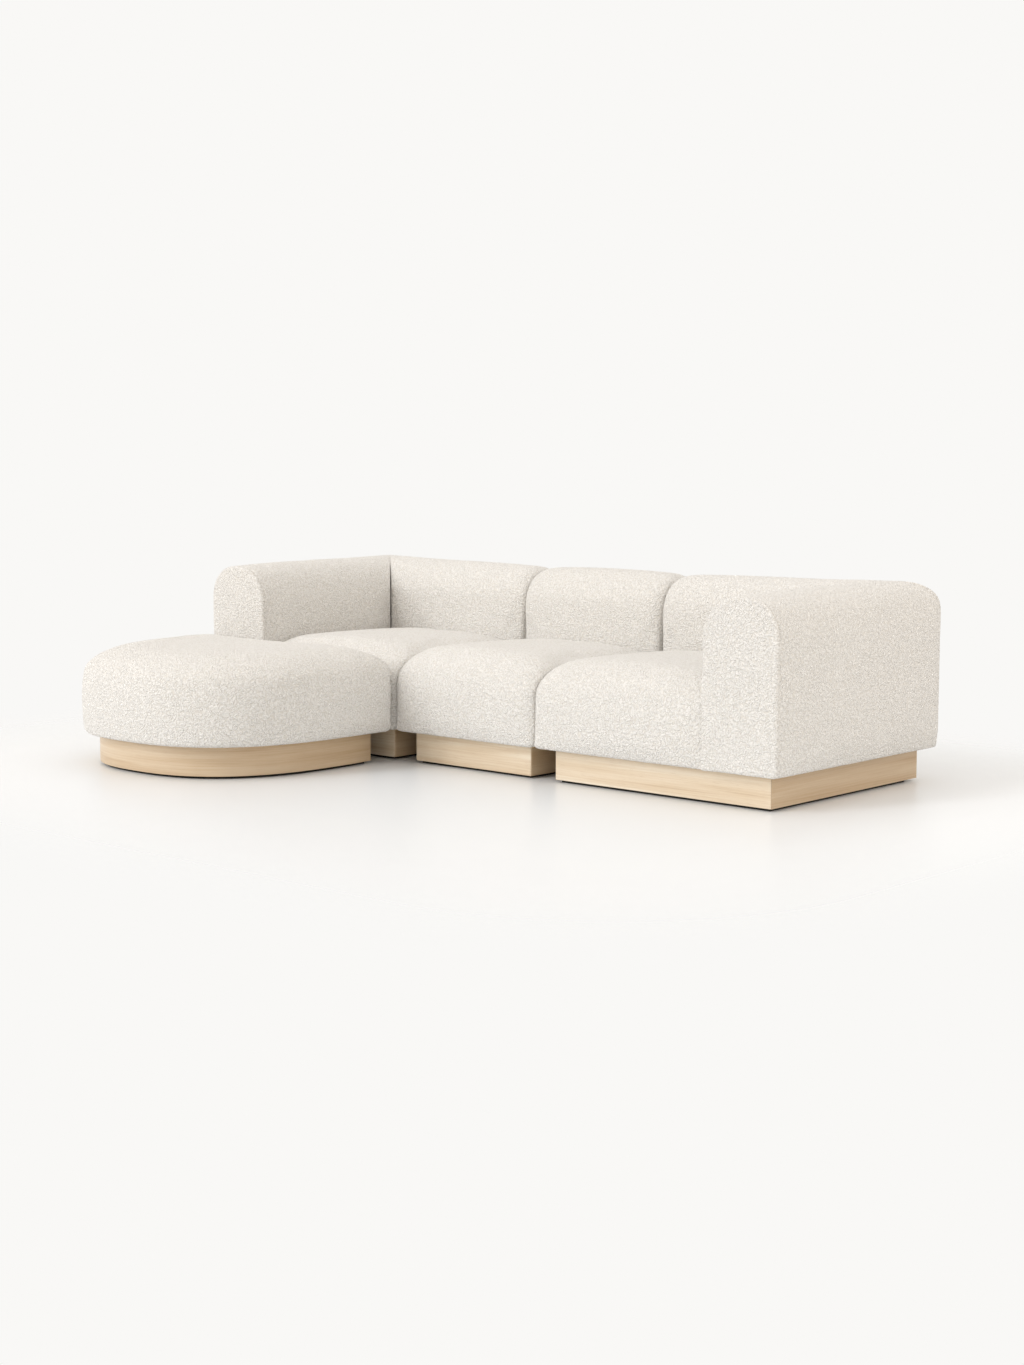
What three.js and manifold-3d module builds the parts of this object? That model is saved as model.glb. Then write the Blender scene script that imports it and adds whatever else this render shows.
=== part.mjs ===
// Modular sectional sofa: two corner modules, an armless middle module and a D-shaped ottoman.
// Every module is a stack: black base board, mitred oak plinth, plywood deck, then upholstery
// over a spring unit and plywood back and arm panels. Clip brackets under the decks join the
// three seat modules, and the ottoman stands free in front of the left one.
//
// Millimetres, +Z up, front towards -Y. Left and right are as seen from the front, so +X is
// to the right. The origin is on the floor, in the middle of the whole footprint.

import * as THREE from "three";
import { mergeVertices } from "three/addons/utils/BufferGeometryUtils.js";
import Module from "manifold-3d";

const wasm = await Module();
wasm.setup();

// Overall sizes
const CORNER_WIDTH = 1060;
const MIDDLE_WIDTH = 702;
const MODULE_DEPTH = 1024;
const OTTOMAN_WIDTH = 1080;
const OTTOMAN_DEPTH = 873;
const OTTOMAN_HEIGHT = 449;
const OTTOMAN_FRONT_REACH = 626;
const OTTOMAN_ROUNDNESS = 2.55;
const OTTOMAN_CORNER_RADIUS = 32;
const OTTOMAN_GAP = 9;
const OTTOMAN_OFFSET = 4;
const BACK_HEIGHT = 716;

// Gaps: between parts that rest on each other, and beside each module's fabric
const FIT = 0.3;
const MODULE_GAP = 1;

// Base and plinth
const BASE_HEIGHT = 10;
const BASE_INSET = 18;
const BASE_INSET_BACK = 60;
const PLINTH_HEIGHT = 111;
const PLINTH_INSET = 57;
const PLINTH_BOARD = 22;
const PLINTH_EDGE_RADIUS = 6;
const RAIL_WIDTH = 45;

// Deck and inner frame
const DECK_THICKNESS = 18;
const DECK_INSET = 25;
const PANEL_THICKNESS = 24;
const PANEL_TOP_CLEARANCE = 76;
const SPRING_HEIGHT = 130;
const SPRING_INSET = 75;

// Upholstery
const SEAT_EDGE_HEIGHT = 430;
const SEAT_CROWN_HEIGHT = 452;
const SEAT_DEPTH = 727;
const ARM_THICKNESS = 311;
const BACK_THICKNESS = MODULE_DEPTH - SEAT_DEPTH;
const HEM_RADIUS = 12;
const SEAT_SIDE_RADIUS = 90;
const SEAT_PLAN_RADIUS = 18;
const BACK_PLAN_RADIUS = 25;
const BACK_END_RADIUS = 40;
const BACK_REAR_RADIUS = 100;
const BACK_FRONT_RADIUS = 120;
const ARM_FACE_RADIUS = 14;
const ARM_OUTER_RADIUS = 125;
const ARM_INNER_RADIUS = 140;
const ARM_PLAN_RADIUS = 8;
const SEAT_ROLL_HEIGHT = 120;
const SEAT_ROLL_DEPTH = 200;
const SEAT_CROWN_REACH = 150;
const BACK_LEAN = 10;
const CORNER_RADIUS = 28;
const CUSHION_GAP = 0.5;

// Clip brackets
const BRACKET_PLATE = 3;
const BRACKET_WIDTH = 50;
const BRACKET_LENGTH = 50;
const TONGUE_LENGTH = 28;
const TONGUE_DROP = 7;
const TONGUE_CLEARANCE = 0.5;
const JAW_CLEARANCE = 4;
const BRACKET_END = 2;
const BRACKET_SETBACK = 190;

// Heights worked out from the stack
const PLINTH_TOP = BASE_HEIGHT + PLINTH_HEIGHT;
const DECK_BOTTOM = PLINTH_TOP + FIT;
const DECK_TOP = DECK_BOTTOM + DECK_THICKNESS;

// Places worked out from the sizes
const HALF_LENGTH = CORNER_WIDTH + MIDDLE_WIDTH / 2;
const TOTAL_DEPTH = MODULE_DEPTH + OTTOMAN_GAP + OTTOMAN_DEPTH;
const FRONT_Y = TOTAL_DEPTH / 2 - MODULE_DEPTH;
const CORNER_X = HALF_LENGTH - CORNER_WIDTH / 2;
const CENTRING_X = (OTTOMAN_WIDTH - CORNER_WIDTH) / 4 + OTTOMAN_OFFSET / 2;

const CURVE_SEGMENTS = 5;
const OTTOMAN_STEPS = 36;
const CORNER_STEPS = 4;
const OVERCUT = 20;
const ARC_HANDLE = 0.5523;

const FINISH = {
  fabric: { color: 0xe9e3d8, roughness: 0.95, metalness: 0 },
  oak: { color: 0xdcc29a, roughness: 0.55, metalness: 0 },
  plywood: { color: 0xc9a877, roughness: 0.7, metalness: 0 },
  pine: { color: 0xd8b98a, roughness: 0.7, metalness: 0 },
  black: { color: 0x161514, roughness: 0.8, metalness: 0 },
  springs: { color: 0xb9b6ae, roughness: 0.9, metalness: 0 },
  steel: { color: 0x8d9094, roughness: 0.4, metalness: 0.9 },
};

function part(name, finish, geometry) {
  const mesh = new THREE.Mesh(geometry, new THREE.MeshStandardMaterial(FINISH[finish]));
  mesh.name = name;
  return mesh;
}

function toSolid(geometry) {
  const bare = geometry.clone();
  bare.deleteAttribute("normal");
  bare.deleteAttribute("uv");
  const merged = mergeVertices(bare, 1e-3);
  return new wasm.Manifold(
    new wasm.Mesh({
      numProp: 3,
      vertProperties: new Float32Array(merged.attributes.position.array),
      triVerts: new Uint32Array(merged.index.array),
    }),
  );
}

function toGeometry(solid) {
  const mesh = solid.getMesh();
  const geometry = new THREE.BufferGeometry();
  geometry.setAttribute("position", new THREE.BufferAttribute(new Float32Array(mesh.vertProperties), 3));
  geometry.setIndex(new THREE.BufferAttribute(new Uint32Array(mesh.triVerts), 1));
  geometry.computeVertexNormals();
  return geometry;
}

// A box between two corners
function boxBetween(low, high) {
  const size = high.map((value, axis) => value - low[axis]);
  const middle = high.map((value, axis) => (value + low[axis]) / 2);
  return new THREE.BoxGeometry(...size).translate(...middle);
}

// A closed outline whose corners are rounded by a quarter ellipse. Each corner is
// [x, y, reach along the edge before it, reach along the edge after it].
function roundedOutline(corners) {
  const shape = new THREE.Shape();
  corners.forEach(([x, y, before = 0, after = before], index) => {
    const corner = new THREE.Vector2(x, y);
    const previous = new THREE.Vector2(...corners.at(index - 1));
    const next = new THREE.Vector2(...corners[(index + 1) % corners.length]);
    const toPrevious = previous.sub(corner).normalize();
    const toNext = next.sub(corner).normalize();
    const start = corner.clone().addScaledVector(toPrevious, before);
    const end = corner.clone().addScaledVector(toNext, after);
    if (index === 0) shape.moveTo(start.x, start.y);
    else shape.lineTo(start.x, start.y);
    if (before > 0) {
      const handleA = start.clone().lerp(corner, ARC_HANDLE);
      const handleB = end.clone().lerp(corner, ARC_HANDLE);
      shape.bezierCurveTo(handleA.x, handleA.y, handleB.x, handleB.y, end.x, end.y);
    }
  });
  return shape;
}

// An outline drawn in the two other axes, extruded along one axis between two places
function extrudeAlong(axis, outline, from, to) {
  const depth = to - from;
  const options = { depth, bevelEnabled: false, curveSegments: CURVE_SEGMENTS };
  const geometry = new THREE.ExtrudeGeometry(outline, options);
  const turn = new THREE.Matrix4();
  const x = new THREE.Vector3(1, 0, 0);
  const y = new THREE.Vector3(0, 1, 0);
  const z = new THREE.Vector3(0, 0, 1);
  if (axis === "x") turn.makeBasis(y, z, x);
  if (axis === "y") turn.makeBasis(x, z, y.negate());
  geometry.translate(0, 0, axis === "y" ? -to : from);
  return geometry.applyMatrix4(turn);
}

// Foam cut from the side, from the front and from above, as a bandsaw would
function foamBlock(side, front, plan) {
  const reach = CORNER_WIDTH;
  const fromSide = toSolid(extrudeAlong("x", roundedOutline(side), -reach, reach));
  const fromFront = toSolid(extrudeAlong("y", roundedOutline(front), -OVERCUT, MODULE_DEPTH + OVERCUT));
  const fromAbove = toSolid(extrudeAlong("z", roundedOutline(plan), 0, BACK_HEIGHT + OVERCUT));
  return fromSide.intersect(fromFront).intersect(fromAbove);
}

// The part of a right-hand corner module that belongs to its arm: everything outside the
// seat's edge, up to the mitre that runs from the inside corner to the outside one.
function armRegion(halfWidth, gap) {
  const inner = halfWidth - ARM_THICKNESS + gap;
  const front = SEAT_DEPTH + gap;
  const slope = BACK_THICKNESS / ARM_THICKNESS;
  const far = inner + CORNER_WIDTH;
  const corners = [
    [inner, -CORNER_WIDTH],
    [far, -CORNER_WIDTH],
    [far, front + CORNER_WIDTH * slope - 2 * gap],
    [inner, front - 2 * gap],
  ];
  return toSolid(extrudeAlong("z", roundedOutline(corners), -OVERCUT, BACK_HEIGHT + 2 * OVERCUT));
}

// Cuts a pocket for each inner part, FIT larger all round
function withPockets(solid, innerParts) {
  let cut = solid;
  for (const [low, high] of innerParts) {
    const bigger = boxBetween(
      low.map((value) => value - FIT),
      high.map((value) => value + FIT),
    );
    cut = cut.subtract(toSolid(bigger));
  }
  return cut;
}

// One plinth board with mitred ends and half of each rounded corner, drawn from above.
// The board's outer face runs along X at y = 0 and its inner face is behind it.
function plinthBoard(length) {
  const half = length / 2 - FIT / 2;
  const round = PLINTH_EDGE_RADIUS;
  const inner = half - PLINTH_BOARD;
  const arc = round * (1 - Math.SQRT1_2);
  const outline = new THREE.Shape();
  outline.moveTo(-half + arc, arc);
  outline.absarc(-half + round, round, round, Math.PI * 1.25, Math.PI * 1.5);
  outline.lineTo(half - round, 0);
  outline.absarc(half - round, round, round, Math.PI * 1.5, Math.PI * 1.75);
  outline.lineTo(inner, PLINTH_BOARD);
  outline.lineTo(-inner, PLINTH_BOARD);
  return extrudeAlong("z", outline, BASE_HEIGHT, PLINTH_TOP);
}

function plinthBoards(name, width, depth) {
  const outerWidth = width - 2 * PLINTH_INSET;
  const outerDepth = depth - 2 * PLINTH_INSET;
  const middle = depth / 2;
  const sides = [
    ["front", outerWidth, 0, 0, PLINTH_INSET],
    ["right", outerDepth, Math.PI / 2, outerWidth / 2, middle],
    ["back", outerWidth, Math.PI, 0, depth - PLINTH_INSET],
    ["left", outerDepth, -Math.PI / 2, -outerWidth / 2, middle],
  ];
  return sides.map(([side, length, turn, x, y]) => {
    const board = part(`${name}_plinth_${side}`, "oak", plinthBoard(length));
    board.rotation.z = turn;
    board.position.set(x, y, 0);
    return board;
  });
}

function baseBoard(name, width, depth) {
  const inset = PLINTH_INSET + BASE_INSET;
  const low = [-width / 2 + inset, inset, 0];
  const high = [width / 2 - inset, depth - PLINTH_INSET - BASE_INSET_BACK, BASE_HEIGHT - FIT];
  return part(`${name}_base_board`, "black", boxBetween(low, high));
}

// A pine rail across the plinth, which carries the deck in the middle
function plinthRail(name, width, depth) {
  const half = width / 2 - PLINTH_INSET - PLINTH_BOARD - FIT;
  const low = [-half, depth / 2 - RAIL_WIDTH / 2, BASE_HEIGHT];
  const high = [half, depth / 2 + RAIL_WIDTH / 2, PLINTH_TOP];
  return part(`${name}_plinth_rail`, "pine", boxBetween(low, high));
}

function deckBox(width, depth) {
  return [
    [-width / 2 + DECK_INSET, DECK_INSET, DECK_BOTTOM],
    [width / 2 - DECK_INSET, depth - DECK_INSET, DECK_TOP],
  ];
}

function springBox(left, right, depth) {
  const bottom = DECK_TOP + FIT;
  return [
    [left + SPRING_INSET, SPRING_INSET, bottom],
    [right - SPRING_INSET, depth - SPRING_INSET, bottom + SPRING_HEIGHT],
  ];
}

// The top edge of a cushion seen from the front: rounded at free sides, square at hidden ones
function cushionFront(left, right, edge, crown, leftRadius, rightRadius) {
  const middle = (left + right) / 2;
  const crownReach = (right - left) / 4;
  return [
    [right, DECK_BOTTOM, rightRadius > 0 ? HEM_RADIUS : 0],
    [right, edge, rightRadius],
    [middle, crown, crownReach],
    [left, edge, leftRadius],
    [left, DECK_BOTTOM, leftRadius > 0 ? HEM_RADIUS : 0],
  ];
}

// The seat rolls over its front edge in a long curve and rises to a soft crown
function seatSolid(left, right, leftRadius, rightRadius) {
  const back = SEAT_DEPTH - CUSHION_GAP;
  const side = [
    [0, DECK_BOTTOM, HEM_RADIUS],
    [back, DECK_BOTTOM],
    [back, SEAT_EDGE_HEIGHT],
    [SEAT_DEPTH / 2, SEAT_CROWN_HEIGHT, SEAT_CROWN_REACH],
    [0, SEAT_EDGE_HEIGHT, SEAT_ROLL_HEIGHT, SEAT_ROLL_DEPTH],
  ];
  const front = cushionFront(left, right, SEAT_EDGE_HEIGHT, SEAT_CROWN_HEIGHT, leftRadius, rightRadius);
  const plan = [
    [left, 0, leftRadius > 0 ? SEAT_PLAN_RADIUS : 0],
    [right, 0, rightRadius > 0 ? SEAT_PLAN_RADIUS : 0],
    [right, back],
    [left, back],
  ];
  return foamBlock(side, front, plan);
}

// The back of a straight module, or of a right-hand corner module up to the mitre
function backSolid(halfWidth, hasArm) {
  const left = -halfWidth + MODULE_GAP;
  const right = hasArm ? halfWidth : halfWidth - MODULE_GAP;
  const topRadius = hasArm ? 0 : BACK_END_RADIUS;
  const side = [
    [SEAT_DEPTH, DECK_BOTTOM],
    [MODULE_DEPTH, DECK_BOTTOM, HEM_RADIUS],
    [MODULE_DEPTH, BACK_HEIGHT, BACK_REAR_RADIUS],
    [SEAT_DEPTH + BACK_LEAN, BACK_HEIGHT, BACK_FRONT_RADIUS],
  ];
  const front = cushionFront(left, right, BACK_HEIGHT, BACK_HEIGHT, BACK_END_RADIUS, topRadius);
  const plan = [
    [left, SEAT_DEPTH, BACK_PLAN_RADIUS],
    [right, SEAT_DEPTH, hasArm ? 0 : BACK_PLAN_RADIUS],
    [right, MODULE_DEPTH, hasArm ? CORNER_RADIUS : BACK_PLAN_RADIUS],
    [left, MODULE_DEPTH, BACK_PLAN_RADIUS],
  ];
  const block = foamBlock(side, front, plan);
  return hasArm ? block.subtract(armRegion(halfWidth, 0)) : block;
}

// The arm of a right-hand corner module
function armSolid(halfWidth) {
  const inner = halfWidth - ARM_THICKNESS;
  const side = [
    [0, DECK_BOTTOM, HEM_RADIUS],
    [MODULE_DEPTH, DECK_BOTTOM, HEM_RADIUS],
    [MODULE_DEPTH, BACK_HEIGHT, BACK_REAR_RADIUS],
    [0, BACK_HEIGHT, ARM_FACE_RADIUS],
  ];
  const front = [
    [halfWidth, DECK_BOTTOM, HEM_RADIUS],
    [halfWidth, BACK_HEIGHT, ARM_OUTER_RADIUS],
    [inner, BACK_HEIGHT, ARM_INNER_RADIUS],
    [inner, DECK_BOTTOM],
  ];
  const plan = [
    [inner, 0, ARM_PLAN_RADIUS],
    [halfWidth, 0, ARM_PLAN_RADIUS],
    [halfWidth, MODULE_DEPTH, CORNER_RADIUS],
    [inner, MODULE_DEPTH],
  ];
  return foamBlock(side, front, plan).intersect(armRegion(halfWidth, CUSHION_GAP));
}

// Half of a clip: a plate under the deck with a tongue that crosses the joint. Drawn for a
// joint at x = 0, with the tongue pointing to +X from the module on the -X side.
function tongueBracket() {
  const top = PLINTH_TOP - FIT;
  const under = top - BRACKET_PLATE;
  const tongueTop = top - TONGUE_DROP;
  const tongueBottom = tongueTop - BRACKET_PLATE;
  const webRight = -BRACKET_LENGTH / 2;
  const webLeft = webRight - BRACKET_PLATE;
  const outline = new THREE.Shape([
    new THREE.Vector2(-BRACKET_LENGTH, under),
    new THREE.Vector2(webLeft, under),
    new THREE.Vector2(webLeft, tongueBottom),
    new THREE.Vector2(TONGUE_LENGTH, tongueBottom),
    new THREE.Vector2(TONGUE_LENGTH, tongueTop),
    new THREE.Vector2(webRight, tongueTop),
    new THREE.Vector2(webRight, under),
    new THREE.Vector2(-BRACKET_END, under),
    new THREE.Vector2(-BRACKET_END, top),
    new THREE.Vector2(-BRACKET_LENGTH, top),
  ]);
  return extrudeAlong("y", outline, -BRACKET_WIDTH / 2, BRACKET_WIDTH / 2);
}

// The other half: a jaw that holds the tongue from above and below, on the +X side
function jawBracket() {
  const top = PLINTH_TOP - FIT;
  const tongueTop = top - TONGUE_DROP;
  const lipTop = tongueTop - BRACKET_PLATE - TONGUE_CLEARANCE;
  const lipBottom = lipTop - BRACKET_PLATE;
  const jawRoof = tongueTop + TONGUE_CLEARANCE;
  const mouth = BRACKET_END;
  const webLeft = TONGUE_LENGTH + JAW_CLEARANCE;
  const webRight = webLeft + BRACKET_PLATE;
  const outline = new THREE.Shape([
    new THREE.Vector2(mouth, jawRoof),
    new THREE.Vector2(webLeft, jawRoof),
    new THREE.Vector2(webLeft, lipTop),
    new THREE.Vector2(mouth, lipTop),
    new THREE.Vector2(mouth, lipBottom),
    new THREE.Vector2(webRight, lipBottom),
    new THREE.Vector2(webRight, top - BRACKET_PLATE),
    new THREE.Vector2(BRACKET_LENGTH, top - BRACKET_PLATE),
    new THREE.Vector2(BRACKET_LENGTH, top),
    new THREE.Vector2(mouth, top),
  ]);
  return extrudeAlong("y", outline, -BRACKET_WIDTH / 2, BRACKET_WIDTH / 2);
}

// Two clips, one near the front and one near the back, at a joint between two modules
function clipPair(left, right, jointX) {
  const places = { front: BRACKET_SETBACK, back: MODULE_DEPTH - BRACKET_SETBACK };
  return Object.entries(places).flatMap(([where, y]) => {
    const tongue = part(`${left}_clip_tongue_${where}`, "steel", tongueBracket());
    const jaw = part(`${right}_clip_jaw_${where}`, "steel", jawBracket());
    tongue.position.set(jointX, FRONT_Y + y, 0);
    jaw.position.set(jointX, FRONT_Y + y, 0);
    return [tongue, jaw];
  });
}

// A seat module. arm is -1 or 1 for the side that has an arm, or 0 for none.
function seatModule(name, width, arm, centreX) {
  const group = new THREE.Group();
  const half = width / 2;
  const left = arm < 0 ? -half + ARM_THICKNESS + CUSHION_GAP : -half + MODULE_GAP;
  const right = arm > 0 ? half - ARM_THICKNESS - CUSHION_GAP : half - MODULE_GAP;
  const deck = deckBox(width, MODULE_DEPTH);
  const springs = springBox(left, right, SEAT_DEPTH);
  const panelTop = BACK_HEIGHT - PANEL_TOP_CLEARANCE;
  const panelBottom = DECK_TOP + FIT;
  const panelY = SEAT_DEPTH + BACK_THICKNESS / 2;
  const backPanel = [
    [left + SPRING_INSET, panelY - PANEL_THICKNESS / 2, panelBottom],
    [right - SPRING_INSET, panelY + PANEL_THICKNESS / 2, panelTop],
  ];
  group.add(baseBoard(name, width, MODULE_DEPTH));
  group.add(...plinthBoards(name, width, MODULE_DEPTH));
  group.add(plinthRail(name, width, MODULE_DEPTH));
  group.add(part(`${name}_deck`, "plywood", boxBetween(...deck)));
  group.add(part(`${name}_spring_unit`, "springs", boxBetween(...springs)));
  group.add(part(`${name}_back_panel`, "plywood", boxBetween(...backPanel)));

  const flip = (solid) => (arm < 0 ? solid.mirror([1, 0, 0]) : solid);
  const seat = seatSolid(left, right, arm < 0 ? 0 : SEAT_SIDE_RADIUS, arm > 0 ? 0 : SEAT_SIDE_RADIUS);
  const back = flip(backSolid(half, arm !== 0));
  group.add(part(`${name}_seat_cushion`, "fabric", toGeometry(withPockets(seat, [deck, springs]))));
  group.add(part(`${name}_back_cushion`, "fabric", toGeometry(withPockets(back, [deck, backPanel]))));

  if (arm !== 0) {
    const panelX = arm * (half - ARM_THICKNESS / 2);
    const armPanel = [
      [panelX - PANEL_THICKNESS / 2, SPRING_INSET, panelBottom],
      [panelX + PANEL_THICKNESS / 2, SEAT_DEPTH, panelTop],
    ];
    const armRest = flip(armSolid(half));
    group.add(part(`${name}_arm_panel`, "plywood", boxBetween(...armPanel)));
    group.add(part(`${name}_arm_cushion`, "fabric", toGeometry(withPockets(armRest, [deck, armPanel]))));
  }
  group.position.set(centreX, FRONT_Y, 0);
  return group;
}

// The ottoman's outline from above: a superellipse cut off by a straight back, with rounded
// back corners. inset moves the whole outline inwards from the widest one.
function ottomanRing(inset, cornerRadius) {
  const halfWidth = OTTOMAN_WIDTH / 2 - inset;
  const reach = OTTOMAN_FRONT_REACH - inset;
  const centreY = OTTOMAN_FRONT_REACH - OTTOMAN_DEPTH;
  const power = 2 / OTTOMAN_ROUNDNESS;
  const bend = (value) => Math.sign(value) * Math.abs(value) ** power;
  const startSine = (-inset - cornerRadius - centreY) / reach;
  const startAngle = Math.asin(startSine ** (1 / power));
  const sweep = -Math.PI - 2 * startAngle;
  const ring = [];
  for (let step = 0; step <= OTTOMAN_STEPS; step += 1) {
    const angle = startAngle + (sweep * step) / OTTOMAN_STEPS;
    ring.push([halfWidth * bend(Math.cos(angle)), centreY + reach * bend(Math.sin(angle))]);
  }
  const [sideX, sideY] = ring[0];
  const corner = [];
  for (let step = 1; step <= CORNER_STEPS; step += 1) {
    const angle = ((Math.PI / 2) * step) / CORNER_STEPS;
    corner.push([sideX - cornerRadius * (1 - Math.cos(angle)), sideY + cornerRadius * Math.sin(angle)]);
  }
  const mirrored = corner.map(([x, y]) => [-x, y]);
  return [...ring, ...mirrored, ...corner.reverse()].reverse();
}

function ottomanPlate(inset, from, to) {
  const corner = Math.max(OTTOMAN_CORNER_RADIUS - inset, PLINTH_EDGE_RADIUS);
  const outline = new THREE.Shape(ottomanRing(inset, corner).map(([x, y]) => new THREE.Vector2(x, y)));
  return extrudeAlong("z", outline, from, to);
}

// The ottoman's cushion, ring on ring from the hem to the crown
function ottomanCushion() {
  const levels = [
    [14, DECK_BOTTOM],
    [6, DECK_BOTTOM + 6],
    [2, DECK_BOTTOM + 20],
    [0, DECK_BOTTOM + 90],
    [0, 300],
    [4, 340],
    [16, 376],
    [38, 405],
    [72, 425],
    [130, 438],
    [230, 446],
  ];
  const rings = levels.map(([inset, z]) => {
    const corner = Math.max(OTTOMAN_CORNER_RADIUS - inset / 2, HEM_RADIUS);
    return ottomanRing(inset, corner).map(([x, y]) => [x, y, z]);
  });
  const centreY = -OTTOMAN_DEPTH / 2;
  const points = [...rings.flat(), [0, centreY, DECK_BOTTOM], [0, centreY, OTTOMAN_HEIGHT]];
  const count = rings[0].length;
  const bottomPole = count * rings.length;
  const topPole = bottomPole + 1;
  const faces = [];
  for (let step = 0; step < count; step += 1) {
    const next = (step + 1) % count;
    for (let level = 0; level < rings.length - 1; level += 1) {
      const low = level * count;
      const high = low + count;
      faces.push([low + step, low + next, high + next], [low + step, high + next, high + step]);
    }
    const last = (rings.length - 1) * count;
    faces.push([bottomPole, next, step], [topPole, last + step, last + next]);
  }
  const geometry = new THREE.BufferGeometry();
  geometry.setAttribute("position", new THREE.Float32BufferAttribute(points.flat(), 3));
  geometry.setIndex(faces.flat());
  return geometry;
}

// The curved oak band in three lengths, cut square at the joints
function ottomanBand() {
  const outer = toSolid(ottomanPlate(PLINTH_INSET, BASE_HEIGHT, PLINTH_TOP));
  const inner = toSolid(ottomanPlate(PLINTH_INSET + PLINTH_BOARD, 0, PLINTH_TOP + OVERCUT));
  const ring = outer.subtract(inner);
  const far = OTTOMAN_DEPTH;
  const jointX = OTTOMAN_WIDTH / 4;
  const backInner = -PLINTH_INSET - PLINTH_BOARD;
  const cuts = {
    left: [[-far, -far, 0], [-jointX - FIT, backInner - FIT, far]],
    front: [[-jointX, -far, 0], [jointX, backInner - FIT, far]],
    right: [[jointX + FIT, -far, 0], [far, backInner - FIT, far]],
    back: [[-far, backInner, 0], [far, 0, far]],
  };
  return Object.entries(cuts).map(([side, [low, high]]) => {
    const piece = ring.intersect(toSolid(boxBetween(low, high)));
    return part(`ottoman_plinth_${side}`, "oak", toGeometry(piece));
  });
}

function ottomanModule() {
  const group = new THREE.Group();
  const baseInset = PLINTH_INSET + BASE_INSET;
  const springBottom = DECK_TOP + FIT;
  const springTop = springBottom + SPRING_HEIGHT;
  const railHalf = OTTOMAN_WIDTH / 2 - PLINTH_INSET - 2 * PLINTH_BOARD;
  const rail = [
    [-railHalf, -OTTOMAN_DEPTH / 2 - RAIL_WIDTH / 2, BASE_HEIGHT],
    [railHalf, -OTTOMAN_DEPTH / 2 + RAIL_WIDTH / 2, PLINTH_TOP],
  ];
  const deckPocket = ottomanPlate(DECK_INSET - FIT, DECK_BOTTOM - FIT, DECK_TOP + FIT);
  const springPocket = ottomanPlate(SPRING_INSET - FIT, DECK_TOP, springTop + FIT);
  const cushion = toSolid(ottomanCushion()).subtract(toSolid(deckPocket)).subtract(toSolid(springPocket));
  group.add(part("ottoman_base_board", "black", ottomanPlate(baseInset, 0, BASE_HEIGHT - FIT)));
  group.add(...ottomanBand());
  group.add(part("ottoman_plinth_rail", "pine", boxBetween(...rail)));
  group.add(part("ottoman_deck", "plywood", ottomanPlate(DECK_INSET, DECK_BOTTOM, DECK_TOP)));
  group.add(part("ottoman_spring_unit", "springs", ottomanPlate(SPRING_INSET, springBottom, springTop)));
  group.add(part("ottoman_seat_cushion", "fabric", toGeometry(cushion)));
  group.position.set(-CORNER_X - OTTOMAN_OFFSET, FRONT_Y - OTTOMAN_GAP, 0);
  return group;
}

const sofa = new THREE.Group();
sofa.position.x = CENTRING_X;
sofa.add(seatModule("left", CORNER_WIDTH, -1, -CORNER_X));
sofa.add(seatModule("middle", MIDDLE_WIDTH, 0, 0));
sofa.add(seatModule("right", CORNER_WIDTH, 1, CORNER_X));
sofa.add(ottomanModule());
sofa.add(...clipPair("left", "middle", -MIDDLE_WIDTH / 2));
sofa.add(...clipPair("middle", "right", MIDDLE_WIDTH / 2));

export default sofa;
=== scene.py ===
"""Looks of a modular sectional sofa: boucle cushions over oak plinths, with a D-shaped ottoman.

Metres, +Z up, front towards -Y, in the frame of the CAD model. Every cushion is built from its
cross-section, blown up a little by cloth simulation between its seams, and then given its pile.
"""

import math

import bmesh
import bpy
import numpy as np
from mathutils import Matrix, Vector


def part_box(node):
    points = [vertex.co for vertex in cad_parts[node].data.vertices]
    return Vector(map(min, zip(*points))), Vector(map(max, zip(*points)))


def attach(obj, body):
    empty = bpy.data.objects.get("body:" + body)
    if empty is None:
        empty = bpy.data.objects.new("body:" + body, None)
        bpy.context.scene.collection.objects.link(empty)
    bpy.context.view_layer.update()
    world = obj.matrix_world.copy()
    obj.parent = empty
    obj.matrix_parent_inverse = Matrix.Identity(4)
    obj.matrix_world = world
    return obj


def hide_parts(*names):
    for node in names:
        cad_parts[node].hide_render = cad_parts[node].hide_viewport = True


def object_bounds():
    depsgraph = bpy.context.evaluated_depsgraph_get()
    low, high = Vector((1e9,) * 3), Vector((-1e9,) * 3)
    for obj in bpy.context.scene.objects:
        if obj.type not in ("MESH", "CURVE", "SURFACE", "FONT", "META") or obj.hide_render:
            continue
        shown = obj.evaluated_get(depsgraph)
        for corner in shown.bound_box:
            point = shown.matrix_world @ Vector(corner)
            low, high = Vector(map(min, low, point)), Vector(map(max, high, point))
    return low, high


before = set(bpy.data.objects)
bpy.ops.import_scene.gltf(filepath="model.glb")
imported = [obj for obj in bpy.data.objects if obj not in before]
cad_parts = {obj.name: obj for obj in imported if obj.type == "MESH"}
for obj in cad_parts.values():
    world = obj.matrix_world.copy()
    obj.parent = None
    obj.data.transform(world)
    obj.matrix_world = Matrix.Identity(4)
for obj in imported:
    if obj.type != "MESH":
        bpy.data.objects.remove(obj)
CAD_LOW, CAD_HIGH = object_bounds()

MM = 0.001

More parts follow.
